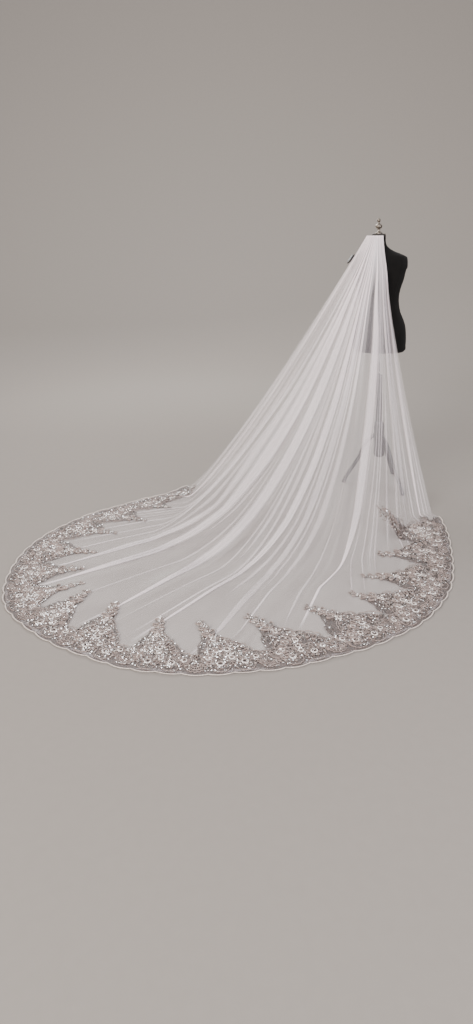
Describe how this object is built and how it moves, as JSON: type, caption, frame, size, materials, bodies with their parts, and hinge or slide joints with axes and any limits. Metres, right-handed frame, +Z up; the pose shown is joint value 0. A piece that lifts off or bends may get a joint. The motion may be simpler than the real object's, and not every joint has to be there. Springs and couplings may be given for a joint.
{
  "type": "bridal veil on a dress form",
  "caption": "Cathedral-length tulle bridal veil with a leafy lace border, gathered on a comb and hung from the neck of a black dress form, its train fanned over the floor.",
  "frame": {"origin": "middle of the part's footprint, on the floor", "axes": "-Y the way the dress form faces, +Z up, the train spreads towards +X and +Y"},
  "size_m": [2.1697, 2.0987, 1.6596],
  "materials": {
    "tulle": "sheer soft ivory tulle",
    "ribbon": "ivory satin ribbon",
    "comb_wire": "silvered comb wire",
    "lace": "corded ivory lace with sequins",
    "cord_edging": "corded edging",
    "jersey": "black jersey over a moulded torso",
    "grey_plate": "grey paint",
    "aged_metal": "aged grey casting",
    "steel": "bare steel",
    "black_paint": "satin black paint"
  },
  "bodies": {
    "root": {"tulle_panel": "tulle", "gather_binding": "ribbon", "comb": "comb_wire", "lace_border": "lace", "hem_edging": "cord_edging", "dress_form": "jersey", "armhole_plate_left": "grey_plate", "armhole_plate_right": "grey_plate", "neck_cap": "grey_plate", "finial": "aged_metal", "upper_pole": "steel", "lower_tube": "black_paint", "leg_hub": "black_paint", "leg_1": "black_paint", "leg_2": "black_paint", "leg_3": "black_paint"}
  },
  "joints": []
}
